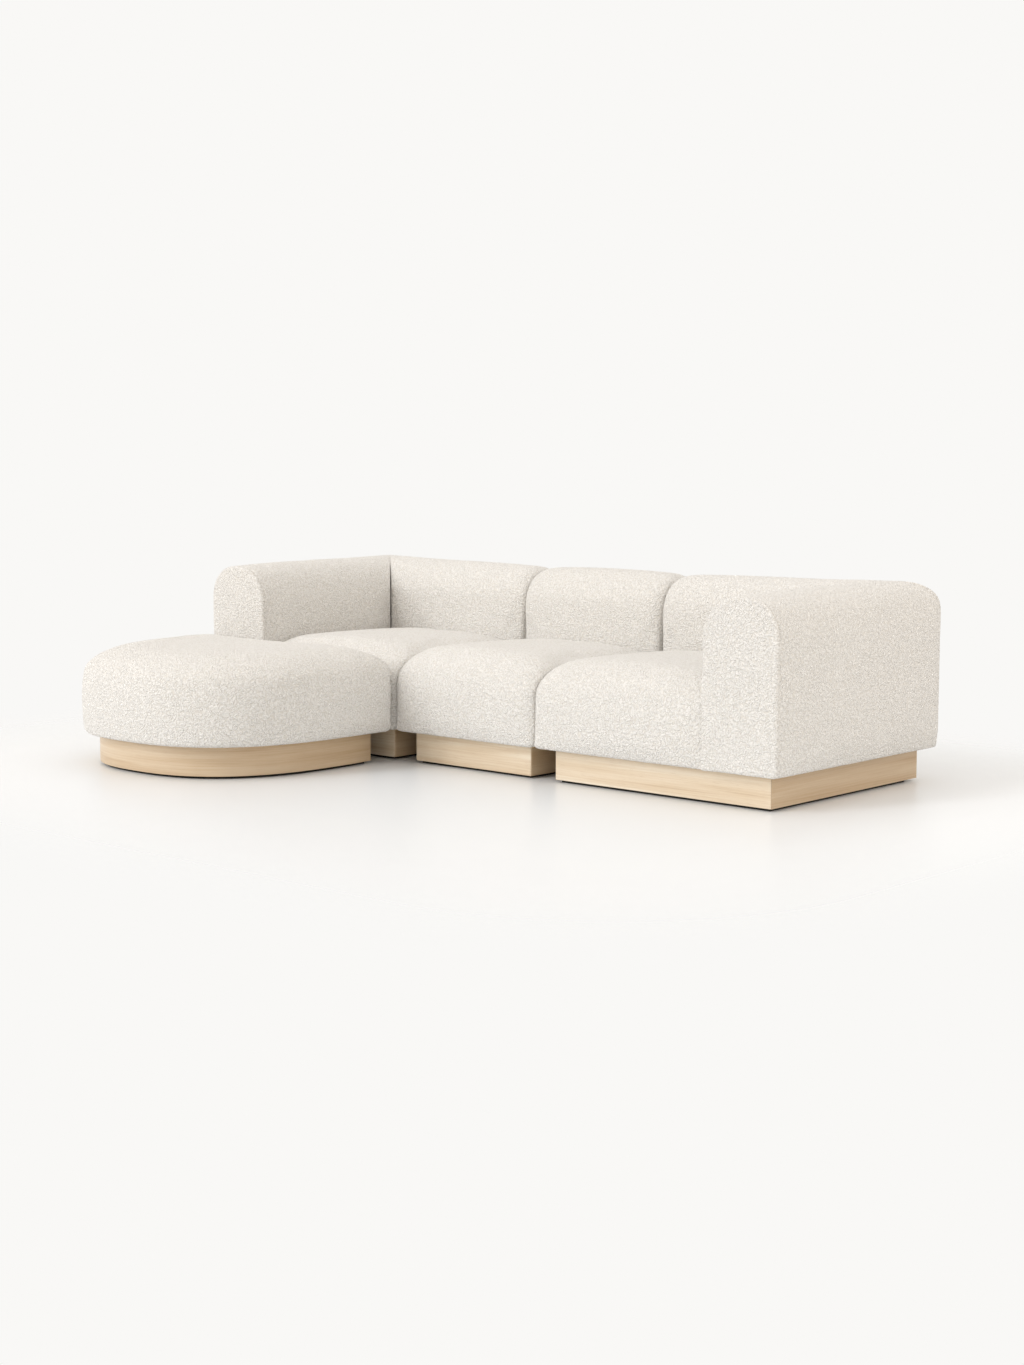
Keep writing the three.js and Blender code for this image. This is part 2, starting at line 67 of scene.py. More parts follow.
# Cushion making
GRID = 24 * MM            # spacing of the sewing-pattern mesh before it is subdivided
SUBDIVISIONS = 2
CUT_SMALLER = 4 * MM      # covers are cut smaller than the block and swell back under pressure
SWELL_LIMIT = 9 * MM
HEM_RADIUS = 14 * MM
PILE_HEIGHT = 1.5 * MM
PILE_SPACING = 10 * MM
LOOP_SIZE = 6.2 * MM      # the real loops are 5 to 6 mm; a little coarser, so that they show
SIM_FRAMES = 14
PINNED_HEM = 40 * MM      # height over which the cover is held at the plinth, fading upwards
SECTION_ARC_STEPS = 5     # rings that round each end of a cushion

# Seats
SEAT_CROWN = 26 * MM      # rise of the seat in the middle
SEAT_ROLL_DEPTH = 150 * MM
SEAT_ROLL_HEIGHT = 100 * MM

# Oak boards
EDGE_BEVEL = 1.6 * MM
MITRE_GAP = 0.15 * MM     # half of the fine line between two mitred boards
BOARD_PROUD = 1.8 * MM    # plinth ends stand this far outside the CAD boards' ends
CORNER_ROUNDING = 6 * MM

# Painted shade along each plinth board, 0 pale to 1 deep: end boards, back boards and the ottoman band's
# right end are darkened where they stand in shade
BOARD_PAINTED_SHADE = {"front": (0.0, 0.0), "back": (0.3, 0.3), "left": (0.9, 0.9), "right": (0.9, 0.9)}
OTTOMAN_BAND_PAINTED_SHADE = (1.0, 0.1)
OTTOMAN_BACK_PAINTED_SHADE = (0.4, 0.4)

# Backs and arms
BACK_CROWN = 6 * MM       # how far their faces stand out of the flat pattern
TOP_CROWN = 4 * MM        # and how much more their tops do
PLAN_RADIUS = 25 * MM     # of the outside corners, seen from above
MITRE_CREASE = 1 * MM     # rounding of the cover where back and arm are mitred
INSIDE_CREASE = 5 * MM    # and how much more of it in the inside corner

# Module joints: each cushion's free left end leans on its neighbour, which gives way
LEAN = 10 * MM

# Seams
SEWN_OVERLAP = 1.2 * MM   # seat and arm covers are sewn edge to edge, so no gap shows between them
SEAM_DEPTH = 5 * MM
SEAM_WIDTH = 9 * MM
SEAM_PROUD = 1.5 * MM     # thread lies this far above the bottom of the seam
STITCH_SPACING = 9 * MM
STITCH_LENGTH = 6.5 * MM
THREAD_RADIUS = 0.9 * MM


# ---------------------------------------------------------------- node helpers

def linear(hex_colour):
    """An sRGB hex colour as linear RGBA."""
    channels = [int(hex_colour[i:i + 2], 16) / 255 for i in (1, 3, 5)]
    return tuple(c / 12.92 if c <= 0.04045 else ((c + 0.055) / 1.055) ** 2.4 for c in channels) + (1.0,)


def add(tree, kind, inputs=None, **settings):
    """Adds a node, sets its settings and fills its inputs with values or links."""
    node = tree.nodes.new(kind)
    for name, value in settings.items():
        setattr(node, name, value)
    for key, value in (inputs or {}).items():
        if isinstance(value, bpy.types.NodeSocket):
            tree.links.new(value, node.inputs[key])
        else:
            node.inputs[key].default_value = value
    return node


def new_material(name):
    material = bpy.data.materials.new(name)
    material.use_nodes = True
    material.node_tree.nodes.clear()
    return material, material.node_tree


def finish_material(tree, shader):
    add(tree, "ShaderNodeOutputMaterial", {"Surface": shader})


def ramp(tree, factor, stops):
    """A colour ramp through (position, hex colour) stops."""
    node = add(tree, "ShaderNodeValToRGB", {"Fac": factor})
    elements = node.color_ramp.elements
    while len(elements) < len(stops):
        elements.new(0.5)
    for element, (position, colour) in zip(elements, stops):
        element.position = position
        element.color = linear(colour)
    return node.outputs["Color"]


# ---------------------------------------------------------------- materials

def boucle_material():
    """Wool-blend boucle, woven with looped yarn: matt, nubbly, a soft halo at grazing angles."""
    material, tree = new_material("boucle_cream")
    place = add(tree, "ShaderNodeTexCoord").outputs["Object"]
    wander = add(tree, "ShaderNodeTexNoise", {"Vector": place, "Scale": 0.55 / LOOP_SIZE, "Detail": 2.0})
    shift = add(tree, "ShaderNodeVectorMath", {0: wander.outputs["Color"], 1: (0.5, 0.5, 0.5)},
                operation="SUBTRACT")
    pull = add(tree, "ShaderNodeVectorMath", {0: shift.outputs[0], "Scale": LOOP_SIZE * 1.6},
               operation="SCALE")
    curled = add(tree, "ShaderNodeVectorMath", {0: place, 1: pull.outputs[0]},
                 operation="ADD").outputs[0]
    loops = add(tree, "ShaderNodeTexVoronoi", {"Vector": curled, "Scale": 1 / LOOP_SIZE},
                feature="SMOOTH_F1")
    loops.inputs["Smoothness"].default_value = 0.35
    fibres = add(tree, "ShaderNodeTexNoise", {"Vector": curled, "Scale": 3.2 / LOOP_SIZE, "Detail": 3.0})
    crowns = add(tree, "ShaderNodeMapRange",
                 {"Value": loops.outputs["Distance"], 1: 0.05, 2: 0.75, 3: 1.0, 4: 0.0})
    height = add(tree, "ShaderNodeMath", {0: fibres.outputs["Fac"], 1: 0.45, 2: crowns.outputs[0]},
                 operation="MULTIPLY_ADD")
    patches = add(tree, "ShaderNodeTexNoise", {"Vector": place, "Scale": 5.0, "Detail": 3.0})
    mixed = add(tree, "ShaderNodeMath", {0: patches.outputs["Fac"], 1: 0.08, 2: height.outputs[0]},
                operation="MULTIPLY_ADD")
    # the colour is painted shade in the pile, darker in the gaps between the loops and lighter on their
    # crowns, plus faint random patches of tone
    colour = ramp(tree, mixed.outputs[0], [(0.15, "#DAD5CD"), (0.55, "#EFECE7"), (1.0, "#F8F6F3")])
    bump = add(tree, "ShaderNodeBump",
               {"Height": height.outputs[0], "Strength": 1.0, "Distance": 5.0 * MM})
    shader = add(tree, "ShaderNodeBsdfPrincipled",
                 {"Base Color": colour, "Normal": bump.outputs[0], "Roughness": 0.95,
                  "Sheen Weight": 0.35, "Sheen Roughness": 0.4, "Specular IOR Level": 0.2})
    finish_material(tree, shader.outputs[0])
    return material


def thread_material():
    """Spun polyester upholstery thread, twisted, in a beige a little darker than the cloth."""
    material, tree = new_material("upholstery_thread")
    place = add(tree, "ShaderNodeTexCoord").outputs["Object"]
    twist = add(tree, "ShaderNodeTexNoise", {"Vector": place, "Scale": 1400.0, "Detail": 1.0})
    ply = twist.outputs["Fac"]
    colour = ramp(tree, ply, [(0.35, "#A8998A"), (0.65, "#CFC4B5")])
    bump = add(tree, "ShaderNodeBump", {"Height": ply, "Strength": 0.5, "Distance": 0.2 * MM})
    shader = add(tree, "ShaderNodeBsdfPrincipled",
                 {"Base Color": colour, "Normal": bump.outputs[0], "Roughness": 0.6})
    finish_material(tree, shader.outputs[0])
    return material


def oak_material():
    """European oak veneer, straight grained, bleached and matt lacquered: pale bands, fine pores
    and a soft shine. UVs are metres: U runs along the grain and V across it."""
    material, tree = new_material("oak_veneer_matt")
    grain_uv = add(tree, "ShaderNodeUVMap", uv_map="grain").outputs[0]

    def stretched(along, across, detail, distortion=0.0):
        spaced = add(tree, "ShaderNodeMapping", {"Vector": grain_uv, "Scale": (along, across, 1.0)})
        noise = add(tree, "ShaderNodeTexNoise", {"Vector": spaced.outputs[0], "Scale": 1.0,
                    "Detail": detail, "Distortion": distortion})
        return noise.outputs["Fac"]

    bands = stretched(1.1, 26.0, 3.0, 0.6)
    fine = stretched(3.0, 190.0, 4.0)
    pores = stretched(22.0, 900.0, 2.0)
    figure = add(tree, "ShaderNodeMath", {0: fine, 1: 0.55, 2: bands}, operation="MULTIPLY_ADD")
    wood = ramp(tree, figure.outputs[0], [(0.45, "#C7AD8B"), (0.72, "#DDCAAF"), (1.0, "#EADDC8")])
    # painted shade: shaded boards are multiplied towards a deeper oak colour, by the per-board shade
    # amount
    shade_amount = add(tree, "ShaderNodeAttribute", attribute_name="painted_shade").outputs["Fac"]
    wood = add(tree, "ShaderNodeMix", {0: shade_amount, 6: wood, 7: linear("#DCCFBE")}, data_type="RGBA",
               blend_type="MULTIPLY").outputs[2]
    open_pores = add(tree, "ShaderNodeMapRange",
                     {"Value": pores, 1: 0.60, 2: 0.72, 3: 0.0, 4: 0.45}).outputs[0]
    colour = add(tree, "ShaderNodeMix", {0: open_pores, 6: wood, 7: linear("#B0906A")},
                 data_type="RGBA")
    relief = add(tree, "ShaderNodeMath", {0: fine, 1: open_pores}, operation="SUBTRACT").outputs[0]
    bump = add(tree, "ShaderNodeBump", {"Height": relief, "Strength": 0.25, "Distance": 0.3 * MM})
    shader = add(tree, "ShaderNodeBsdfPrincipled",
                 {"Base Color": colour.outputs[2], "Normal": bump.outputs[0], "Roughness": 0.48,
                  "Specular IOR Level": 0.4, "Coat Weight": 0.6, "Coat Roughness": 0.42})
    finish_material(tree, shader.outputs[0])
    return material


def sheet_wood_material(name, light, dark, layers_per_metre):
    """Sanded timber seen in the rough: birch plywood with its layers, or planed pine."""
    material, tree = new_material(name)
    place = add(tree, "ShaderNodeTexCoord").outputs["Object"]
    spaced = add(tree, "ShaderNodeMapping", {"Vector": place, "Scale": (2.0, 40.0, layers_per_metre)})
    grain = add(tree, "ShaderNodeTexNoise",
                {"Vector": spaced.outputs[0], "Scale": 1.0, "Detail": 4.0, "Distortion": 0.4})
    colour = ramp(tree, grain.outputs["Fac"], [(0.3, dark), (0.7, light)])
    bump = add(tree, "ShaderNodeBump",
               {"Height": grain.outputs["Fac"], "Strength": 0.2, "Distance": 0.4 * MM})
    shader = add(tree, "ShaderNodeBsdfPrincipled",
                 {"Base Color": colour, "Normal": bump.outputs[0], "Roughness": 0.65})
    finish_material(tree, shader.outputs[0])
    return material


def black_laminate_material():
    """Black laminated board: matt with a fine orange-peel texture and faint scuffs."""
    material, tree = new_material("black_laminate")
    place = add(tree, "ShaderNodeTexCoord").outputs["Object"]
    peel = add(tree, "ShaderNodeTexNoise", {"Vector": place, "Scale": 900.0, "Detail": 2.0})
    scuffs = add(tree, "ShaderNodeTexNoise", {"Vector": place, "Scale": 12.0, "Detail": 6.0})
    colour = ramp(tree, scuffs.outputs["Fac"], [(0.35, "#0E0D0C"), (0.8, "#1D1B19")])
    bump = add(tree, "ShaderNodeBump",
               {"Height": peel.outputs["Fac"], "Strength": 0.15, "Distance": 0.1 * MM})
    shader = add(tree, "ShaderNodeBsdfPrincipled",
                 {"Base Color": colour, "Normal": bump.outputs[0], "Roughness": 0.7})
    finish_material(tree, shader.outputs[0])
    return material


def spring_cover_material():
    """Non-woven polypropylene round pocketed springs: pressed fibres in rows of pockets."""
    material, tree = new_material("nonwoven_spring_cover")
    place = add(tree, "ShaderNodeTexCoord").outputs["Object"]
    pockets = add(tree, "ShaderNodeTexVoronoi", {"Vector": place, "Scale": 16.0, "Randomness": 0.0})
    fibres = add(tree, "ShaderNodeTexNoise", {"Vector": place, "Scale": 700.0, "Detail": 4.0})
    # painted shade between the pockets: pale in the middle of each pocket, darker where the pockets meet
    colour = ramp(tree, pockets.outputs["Distance"], [(0.0, "#D9D6CE"), (0.7, "#A9A59B")])
    bump = add(tree, "ShaderNodeBump",
               {"Height": fibres.outputs["Fac"], "Strength": 0.3, "Distance": 0.3 * MM})
    shader = add(tree, "ShaderNodeBsdfPrincipled",
                 {"Base Color": colour, "Normal": bump.outputs[0], "Roughness": 0.85})
    finish_material(tree, shader.outputs[0])
    return material


def zinc_steel_material():
    """Pressed steel, zinc plated and passivated: dull metal with a crystalline spangle."""
    material, tree = new_material("zinc_plated_steel")
    place = add(tree, "ShaderNodeTexCoord").outputs["Object"]
    spangle = add(tree, "ShaderNodeTexVoronoi", {"Vector": place, "Scale": 260.0})
    colour = ramp(tree, spangle.outputs["Distance"], [(0.0, "#9A9DA0"), (0.8, "#B9BCBE")])
    dull = add(tree, "ShaderNodeMapRange", {"Value": spangle.outputs["Distance"], 3: 0.32, 4: 0.5})
    shader = add(tree, "ShaderNodeBsdfPrincipled",
                 {"Base Color": colour, "Metallic": 1.0, "Roughness": dull.outputs[0]})
    finish_material(tree, shader.outputs[0])
    return material


# ---------------------------------------------------------------- meshes

def mesh_object(name, points, faces, material):
    mesh = bpy.data.meshes.new(name)
    mesh.from_pydata([tuple(p) for p in points], [], faces)
    mesh.validate()
    piece = bpy.data.objects.new(name, mesh)
    bpy.context.scene.collection.objects.link(piece)
    mesh.materials.append(material)
    return piece


def face_outwards(piece):
    shell = bmesh.new()
    shell.from_mesh(piece.data)
    bmesh.ops.remove_doubles(shell, verts=shell.verts, dist=1e-5)
    bmesh.ops.recalc_face_normals(shell, faces=shell.faces)
    shell.to_mesh(piece.data)
    shell.free()


def apply_modifiers(piece):
    """Turns the piece and its modifiers into one plain mesh."""
    bpy.context.view_layer.update()
    evaluated = piece.evaluated_get(bpy.context.evaluated_depsgraph_get())
    mesh = bpy.data.meshes.new_from_object(evaluated)
    piece.modifiers.clear()
    old = piece.data
    piece.data = mesh
    mesh.name = old.name
    bpy.data.meshes.remove(old)


def read_points(mesh):
    flat = np.zeros(len(mesh.vertices) * 3)
    mesh.vertices.foreach_get("co", flat)
    return flat.reshape(-1, 3)


def write_points(mesh, points):
    mesh.vertices.foreach_set("co", np.asarray(points).ravel())
    mesh.update()


# ---------------------------------------------------------------- cross-sections

ARC_HANDLE = 0.5523   # cubic curve handle that makes a quarter ellipse


def rounded_section(corners):
    """A closed outline, with each corner (a, b, reach before, reach after) a quarter ellipse.
    Returns evenly spaced points and their outward normals."""
    count = len(corners)
    points = []
    for index, (a, b, *reach) in enumerate(corners):
        corner = np.array([a, b])
        before, after = (reach * 2)[:2]
        previous = np.array(corners[index - 1][:2])
        following = np.array(corners[(index + 1) % count][:2])
        start = corner + (previous - corner) / np.linalg.norm(previous - corner) * before
        end = corner + (following - corner) / np.linalg.norm(following - corner) * after
        if points:
            gap = start - points[-1]
            steps = max(1, round(np.linalg.norm(gap) / GRID))
            points += [points[-1] + gap * k / steps for k in range(1, steps)]
        handle_a = start + (corner - start) * ARC_HANDLE
        handle_b = end + (corner - end) * ARC_HANDLE
        steps = max(4, round((before + after) * 0.8 / GRID))
        for t in np.linspace(0, 1, steps + 1):
            s = 1 - t
            points.append(s ** 3 * start + 3 * s * s * t * handle_a
                          + 3 * s * t * t * handle_b + t ** 3 * end)
    gap = points[0] - points[-1]
    steps = max(1, round(np.linalg.norm(gap) / GRID))
    points += [points[-1] + gap * k / steps for k in range(1, steps)]
    points = np.array(points)
    ahead = np.roll(points, -1, axis=0) - points
    ahead /= np.linalg.norm(ahead, axis=1)[:, None]
    tangent = ahead + np.roll(ahead, 1, axis=0)
    tangent /= np.linalg.norm(tangent, axis=1)[:, None]
    area = np.sum(points[:, 0] * np.roll(points[:, 1], -1) - np.roll(points[:, 0], -1) * points[:, 1])
    normals = np.stack([tangent[:, 1], -tangent[:, 0]], axis=1) * np.sign(area)
    return points, normals


def smooth_step(value, low, high):
    t = np.clip((value - low) / (high - low), 0, 1)
    return t * t * (3 - 2 * t)


class End:
    """One end of a cushion: where it lies for each point of the section, how far along the cushion
    its rounding reaches, how deep that rounding goes, how far the end panel bulges, how deep
    the seam behind the panel is drawn in, and whether the crown runs on to this end."""

    def __init__(self, at, reach, depth, bulge=0.0, groove=0.0, crowned=False):
        self.at, self.reach, self.depth = at, reach, depth
        self.bulge, self.groove, self.crowned = bulge, groove, crowned


def lofted_points(section, low, high, crown):
    """Rings of (a, b, along) points from the low end to the high one, with both end panels."""
    points, normals = section
    at_low = low.at + 0 * points[:, 0]
    at_high = high.at + 0 * points[:, 0]
    arc = np.linspace(math.pi / 2, 0, SECTION_ARC_STEPS)
    rows = [(at_low + low.reach * (1 - math.sin(t)), low.depth * (1 - math.cos(t))) for t in arc]
    body_start = at_low + low.reach
    body_end = at_high - high.reach
    steps = max(2, round(float(np.mean(body_end - body_start)) / GRID))
    if np.max(low.groove) > 0:
        rows += [(body_start + SEAM_WIDTH * k / 2, low.groove * (k == 1)) for k in (1, 2)]
        body_start = body_start + SEAM_WIDTH
    rows += [(body_start + (body_end - body_start) * k / steps, 0.0) for k in range(1, steps)]
    rows += [(at_high - high.reach * (1 - math.sin(t)), high.depth * (1 - math.cos(t)))
             for t in arc[::-1]]
    rings = []
    for along, inset in rows:
        u = 2 * (along - at_low) / (at_high - at_low) - 1
        if low.crowned:
            u = np.maximum(u, 0)
        if high.crowned:
            u = np.minimum(u, 0)
        rise = crown * (1 - np.clip(np.abs(u), 0, 1) ** 2.2) - inset
        ring = points + normals * rise[:, None]
        rings.append(np.column_stack([ring, along]))
    for end, along in ((low, 0), (high, -1)):
        outline = rings[along]
        centre = outline.mean(axis=0)
        reach = np.linalg.norm(outline - centre, axis=1).min()
        count = max(3, round(reach / GRID))
        side = -1 if along == 0 else 1
        panel = []
        for k in range(1, count):
            size = 1 - k / count
            ring = centre + (outline - centre) * size
            ring[:, 2] += side * end.bulge * (1 - size ** 2)
            panel.append(ring)
        pole = centre + np.array([0, 0, side * end.bulge])
        if along == 0:
            rings = panel[::-1] + rings
            low_pole = pole
        else:
            rings = rings + panel
            high_pole = pole
    return rings, low_pole, high_pole


def ring_faces(ring_count, size):
    """Quads between rings of size points, and fans at the poles that follow them."""
    low_pole = ring_count * size
    high_pole = low_pole + 1
    faces = []
    for i in range(size):
        j = (i + 1) % size
        for start in range(0, (ring_count - 1) * size, size):
            faces.append((start + i, start + j, start + size + j, start + size + i))
        faces.append((low_pole, j, i))
        last = (ring_count - 1) * size
        faces.append((high_pole, last + i, last + j))
    return faces


def cushion(name, section, axis, low, high, crown, material):
    """A closed cushion. Its section is in Y and Z along the X axis, or in X and Z along Y."""
    rings, low_pole, high_pole = lofted_points(section, low, high, crown)
    points = np.vstack(rings + [low_pole, high_pole])
    order = [2, 0, 1] if axis == "x" else [0, 2, 1]
    points = points[:, order]
    return mesh_object(name, points, ring_faces(len(rings), len(rings[0])), material)


# ---------------------------------------------------------------- soft goods

def blow_up(piece, pinned):
    """Cloth pressure swells the cover between its pinned seams. The motion is capped."""
    rest = read_points(piece.data)
    group = piece.vertex_groups.new(name="seams")
    for index, weight in enumerate(pinned(rest)):
        group.add([index], float(weight), "REPLACE")
    cloth = piece.modifiers.new("pressure", "CLOTH")
    settings = cloth.settings
    settings.quality = 4
    settings.mass = 0.6
    settings.tension_stiffness = 12
    settings.compression_stiffness = 12
    settings.shear_stiffness = 8
    settings.bending_stiffness = 2
    settings.air_damping = 4
    settings.use_pressure = True
    settings.uniform_pressure_force = 4
    settings.vertex_group_mass = "seams"
    settings.effector_weights.gravity = 0
    cloth.point_cache.frame_end = SIM_FRAMES
    scene = bpy.context.scene
    for step in range(1, SIM_FRAMES + 1):
        scene.frame_set(step)
    swollen = piece.evaluated_get(bpy.context.evaluated_depsgraph_get()).data
    moved = read_points(swollen) - rest
    distance = np.linalg.norm(moved, axis=1) + 1e-9
    capped = SWELL_LIMIT * np.tanh(distance / SWELL_LIMIT)
    piece.modifiers.clear()
    piece.vertex_groups.clear()
    write_points(piece.data, rest + moved * (capped / distance)[:, None])
    scene.frame_set(1)


def raise_pile(piece):
    """Subdivides the cover and lifts the boucle's nubs out of it."""
    smooth = piece.modifiers.new("smooth", "SUBSURF")
    smooth.levels = smooth.render_levels = SUBDIVISIONS
    nubs = bpy.data.textures.get("boucle_nubs") or bpy.data.textures.new("boucle_nubs", "CLOUDS")
    nubs.noise_scale = PILE_SPACING
    nubs.noise_depth = 1
    pile = piece.modifiers.new("pile", "DISPLACE")
    pile.texture = nubs
    pile.texture_coords = "LOCAL"
    pile.strength = PILE_HEIGHT
    pile.mid_level = 0.5
    apply_modifiers(piece)
    for polygon in piece.data.polygons:
        polygon.use_smooth = True


def finish_cushion(piece, body, node, pinned):
    face_outwards(piece)
    blow_up(piece, pinned)
    raise_pile(piece)
    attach(piece, body)
    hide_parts(node)


def near_hem(bottom):
    """1 at the bottom of a cushion, fading to 0 above it."""
    def pinned(points):
        return np.clip(1 - (points[:, 2] - bottom) / PINNED_HEM, 0, 1)
    return pinned


def mirrored(piece, centre_x):
    points = read_points(piece.data)
    points[:, 0] = 2 * centre_x - points[:, 0]
    write_points(piece.data, points)


def round_plan_corner(piece, corner, radius):
    """Rounds a vertical outside corner of a piece, seen from above."""
    points = read_points(piece.data)
    a = (points[:, 0] - corner[0]) / radius + 1
    b = (points[:, 1] - corner[1]) / radius + 1
    inside = (a > 0) & (b > 0)
    a, b = np.clip(a, 0, 1.3), np.clip(b, 0, 1.3)
    round_a = a * np.sqrt(1 - np.minimum(b, 1) ** 2 / 2)
    round_b = b * np.sqrt(1 - np.minimum(a, 1) ** 2 / 2)
    points[inside, 0] = (corner[0] + radius * (round_a - 1))[inside]
    points[inside, 1] = (corner[1] + radius * (round_b - 1))[inside]
    write_points(piece.data, points)


class Module:
    """The boxes of one seat module, read from the frame as if its arm were on the right."""

    def __init__(self, name):
        self.name = name
        self.body = f"{name}_module"
        low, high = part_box(f"{name}_plinth_front")
        self.centre = (low[0] + high[0]) / 2
        self.flip = name == "left"
        self.has_arm = name != "middle"
        self.seat = self.box("seat_cushion")
        self.back = self.box("back_cushion")
        if self.has_arm:
            self.arm = self.box("arm_cushion")
            self.inner_x, self.outer_x = self.arm[0][0], self.arm[1][0]

    def free_ends(self, low, high):
        """Where the free ends lie once the modules are pushed together."""
        return (low + LEAN if self.flip else low - LEAN), high - LEAN

    def box(self, part):
        low, high = (np.array(corner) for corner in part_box(f"{self.name}_{part}"))
        if self.flip:
            low[0], high[0] = 2 * self.centre - high[0], 2 * self.centre - low[0]
        return low, high


def add_seat(module, material):
    (left, front, bottom), (right, back, top) = module.seat
    edge = top - SEAT_CROWN
    small = CUT_SMALLER
    section = rounded_section([
        (front + small, bottom, HEM_RADIUS),
        (back, bottom, HEM_RADIUS),
        (back, edge - 8 * MM, 34 * MM),
        ((front + back) / 2, edge + 4 * MM, SEAT_ROLL_DEPTH),
        (front + small, edge, SEAT_ROLL_DEPTH, SEAT_ROLL_HEIGHT),
    ])
    depth, height = section[0].T
    on_top = smooth_step(height, bottom + 170 * MM, bottom + 280 * MM)
    rise = SEAT_CROWN * on_top + 6 * MM * smooth_step(height, bottom, bottom + 60 * MM) * (1 - on_top)
    rise = rise * (depth < back - 5 * MM)
    free = (22 * MM + 50 * MM * on_top, 20 * MM + 8 * MM * on_top)
    tucked = (2 * MM + 33 * MM * on_top, 1 * MM + 23 * MM * on_top)
    high = tucked if module.has_arm else free
    low_end, high_end = module.free_ends(left, right)
    if module.has_arm:
        high_end = right + SEWN_OVERLAP
    piece = cushion(f"{module.name}_seat", section, "x", End(low_end, *free, bulge=2 * MM),
                    End(high_end, *high), rise, material)
    if module.flip:
        mirrored(piece, module.centre)

    finish_cushion(piece, module.body, f"{module.name}_seat_cushion", near_hem(bottom))


def upright_crown(height, bottom, top):
    """How far a back or arm stands out at each height, and how near its top each point is."""
    near_top = smooth_step(height, top - 200 * MM, top - 60 * MM)
    return BACK_CROWN * smooth_step(height, bottom, bottom + 80 * MM) + TOP_CROWN * near_top, near_top


def mitred_end(section, rise, inside, start, slope):
    """The end of a back or arm on the mitre plane, which leaves the inside corner at start."""
    across = section[0][:, 0]
    crease = INSIDE_CREASE * (1 - smooth_step(across, inside, inside + 150 * MM)) + MITRE_CREASE
    puffed = across + section[1][:, 0] * rise
    return End(start + (puffed - inside) * slope + SEWN_OVERLAP, crease, crease, crowned=True)


def add_back(module, material):
    (left, front, bottom), (right, back, top) = module.back
    small = CUT_SMALLER
    section = rounded_section([
        (front + small, bottom, 10 * MM),
        (back - small, bottom, HEM_RADIUS),
        (back - small, top - small / 2, 105 * MM),
        (front + small + 10 * MM, top - small / 2, 125 * MM),
    ])
    height = section[0][:, 1]
    rise, near_top = upright_crown(height, bottom, top)
    low_end, high_end = module.free_ends(left, right)
    free = End(low_end, 34 * MM + 30 * MM * near_top, 19 * MM + 13 * MM * near_top, bulge=2 * MM)
    if module.has_arm:
        slope = (module.outer_x - module.inner_x) / (back - front)
        far = mitred_end(section, rise, front, module.inner_x, slope)
    else:
        far = End(high_end, free.reach, free.depth, bulge=2 * MM)
    piece = cushion(f"{module.name}_back", section, "x", free, far, rise, material)
    if module.has_arm:
        round_plan_corner(piece, (module.outer_x - small / 2, back - small), PLAN_RADIUS)
    if module.flip:
        mirrored(piece, module.centre)

    def pinned(points):
        low = near_hem(bottom)(points)
        return np.maximum(low, near_mitre(module, points)) if module.has_arm else low

    finish_cushion(piece, module.body, f"{module.name}_back_cushion", pinned)


def near_mitre(module, points):
    """1 on the mitre plane, fading to 0 a hand's breadth away."""
    x = 2 * module.centre - points[:, 0] if module.flip else points[:, 0]
    front, back = module.back[0][1], module.back[1][1]
    slope = (module.outer_x - module.inner_x) / (back - front)
    distance = np.abs(x - module.inner_x - (points[:, 1] - front) * slope)
    return np.clip(1 - distance / (60 * MM), 0, 1)


def add_arm(module, material, stitches, thread):
    (inner, front, bottom), (outer, _, top) = module.arm
    back_front, back_rear = module.back[0][1], module.back[1][1]
    small = CUT_SMALLER
    section = rounded_section([
        (inner, bottom, 10 * MM),
        (outer - small / 2, bottom, HEM_RADIUS),
        (outer - small / 2, top - small / 2, 128 * MM),
        (inner, top - small / 2, 145 * MM),
    ])
    across, height = section[0].T
    rise, _ = upright_crown(height, bottom, top)
    seat_top = module.seat[1][2]
    seat_side = smooth_step(across, inner + 10 * MM, inner + 60 * MM)
    sewn = np.maximum(seat_side, smooth_step(height, seat_top - 50 * MM, seat_top))
    edge = 1.5 * MM + 9 * MM * sewn
    face = End(front + small / 2, edge, edge, bulge=4 * MM, groove=SEAM_DEPTH * sewn)
    far = mitred_end(section, rise, inner, back_front, (back_rear - back_front) / (outer - inner))
    piece = cushion(f"{module.name}_arm", section, "y", face, far, rise, material)
    sunk = section[0] + section[1] * (SEAM_PROUD - face.groove)[:, None]
    seam = np.column_stack([sunk[:, 0], front + small / 2 + edge + SEAM_WIDTH / 2, sunk[:, 1]])
    hem = np.argmin(seam[:, 2] + np.abs(seam[:, 0] - outer))
    seam = np.roll(seam, -hem, axis=0)
    in_sight = (seam[:, 0] > inner + 20 * MM) | (seam[:, 2] > seat_top)
    seam = seam[(seam[:, 2] > bottom + 20 * MM) & in_sight]
    if module.flip:
        seam[:, 0] = 2 * module.centre - seam[:, 0]
    add_stitches(f"{module.name}_arm_stitches", module.body, seam, stitches, thread)
    round_plan_corner(piece, (outer - small / 2, back_rear - small), PLAN_RADIUS)
    if module.flip:
        mirrored(piece, module.centre)

    def pinned(points):
        seam = np.clip(1 - np.abs(points[:, 1] - front - 9 * MM) / (30 * MM), 0, 1)
        return np.maximum(np.maximum(near_hem(bottom)(points), seam), near_mitre(module, points))

    finish_cushion(piece, module.body, f"{module.name}_arm_cushion", pinned)


